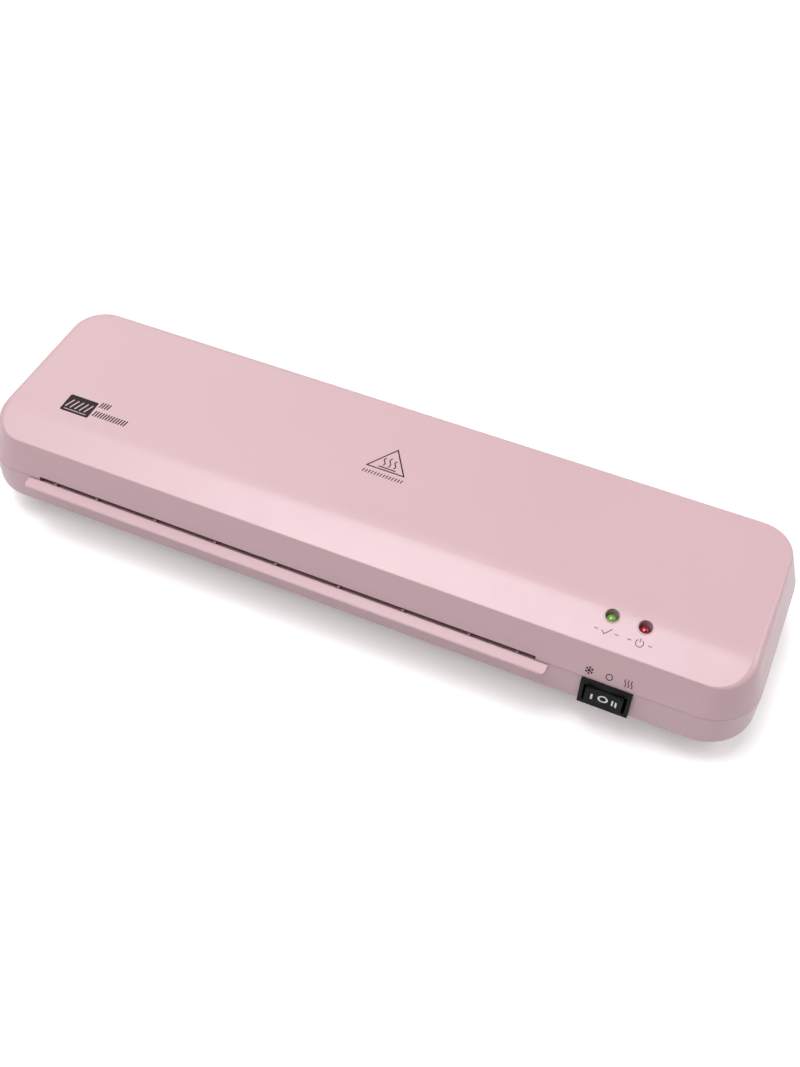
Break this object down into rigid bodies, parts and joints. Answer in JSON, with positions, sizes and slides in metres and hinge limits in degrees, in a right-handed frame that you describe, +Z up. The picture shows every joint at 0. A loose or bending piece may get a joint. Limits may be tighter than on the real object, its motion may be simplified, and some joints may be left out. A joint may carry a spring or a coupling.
{
  "type": "pouch laminator",
  "caption": "Slim A4 hot and cold pouch laminator: pink two-part case, front feed slot with lip, rocker switch, indicator lamps, geared silicone rollers between heated plates.",
  "frame": {"origin": "on the table plane under the middle of the machine", "axes": "+Z up, -Y towards the user (feed slot side), +X to the user's right"},
  "size_m": [0.352, 0.1098, 0.048],
  "materials": {
    "shell_plastic": "fine satin moulded ABS",
    "black_plastic": "semi-gloss",
    "foot_rubber": "matte",
    "plated_steel": "zinc plated sheet",
    "bright_steel": "ground",
    "screw_steel": "plated",
    "silicone": "matte red-brown silicone",
    "bearing_bronze": "sintered",
    "white_nylon": "natural nylon",
    "aluminium": "extruded",
    "heater_ceramic": "ceramic and mica",
    "motor_metal": "zinc plated",
    "circuit_board": "solder resist",
    "component_plastic": "moulded",
    "lamp_green": "tinted lens",
    "lamp_red": "tinted lens"
  },
  "bodies": {
    "case": {"upper_cover": "shell_plastic", "lower_cover": "shell_plastic", "foot_front_left": "foot_rubber", "foot_rear_left": "foot_rubber", "foot_front_right": "foot_rubber", "foot_rear_right": "foot_rubber", "case_screws": "screw_steel", "infeed_guide": "shell_plastic", "exit_guide": "shell_plastic", "switch_housing": "black_plastic", "switch_terminals": "bearing_bronze", "lamp_ready": "lamp_green", "lamp_power": "lamp_red", "lamp_board": "circuit_board", "left_side_plate": "plated_steel", "right_side_plate": "plated_steel", "front_tie_bar": "plated_steel", "rear_tie_bar": "plated_steel", "chassis_screws": "screw_steel", "upper_bush_left": "bearing_bronze", "upper_bush_right": "bearing_bronze", "pressure_spring_left": "bright_steel", "pressure_spring_right": "bright_steel", "motor_bracket": "plated_steel", "motor_posts": "plated_steel", "motor_gearbox": "motor_metal", "motor_can": "motor_metal", "motor_screws": "screw_steel", "upper_heat_plate": "aluminium", "lower_heat_plate": "aluminium", "upper_heater": "heater_ceramic", "lower_heater": "heater_ceramic", "thermostats": "aluminium", "thermal_fuse": "heater_ceramic", "left_plate_holder": "heater_ceramic", "right_plate_holder": "heater_ceramic", "heat_shield": "plated_steel", "control_board": "circuit_board", "board_components": "component_plastic", "board_screws": "screw_steel", "cord_gland": "black_plastic"},
    "rocker": {"switch_rocker": "black_plastic"},
    "upper_roller": {"upper_roller_shaft": "bright_steel", "upper_roller_sleeve": "silicone", "upper_roller_gear": "white_nylon", "upper_shaft_clip": "bright_steel"},
    "carriage": {"lower_bearing_left": "white_nylon", "lower_bearing_right": "white_nylon"},
    "lower_roller": {"lower_roller_shaft": "bright_steel", "lower_roller_sleeve": "silicone", "lower_roller_gear": "white_nylon", "lower_shaft_clip": "bright_steel"},
    "motor_output": {"motor_gear": "white_nylon", "motor_shaft": "bright_steel"}
  },
  "joints": [
    {"name": "rocker_tilt", "type": "hinge", "parent": "case", "child": "rocker", "pos_m": [0.1193, -0.0475, 0.0221], "axis": [0, 0, 1], "range_deg": [-10, 10]},
    {"name": "upper_roller_spin", "type": "hinge", "parent": "case", "child": "upper_roller", "pos_m": [-0.02655, 0.014, 0.0357], "axis": [1, 0, 0], "continuous": true},
    {"name": "roller_opening", "type": "slide", "parent": "case", "child": "carriage", "axis": [0, 0, -1], "range_m": [0, 0.0008], "stiffness_N_per_m": 4000, "springref_m": -0.003, "deforming": ["pressure_spring_left", "pressure_spring_right"]},
    {"name": "lower_roller_spin", "type": "hinge", "parent": "carriage", "child": "lower_roller", "pos_m": [-0.02655, 0.014, 0.0217], "axis": [1, 0, 0], "continuous": true},
    {"name": "motor_spin", "type": "hinge", "parent": "case", "child": "motor_output", "pos_m": [0.11, 0.02736, 0.0315], "axis": [1, 0, 0], "continuous": true}
  ],
  "couplings": [
    {"joint": "lower_roller_spin", "follows": "upper_roller_spin", "ratio": -1},
    {"joint": "motor_spin", "follows": "upper_roller_spin", "ratio": -1}
  ]
}
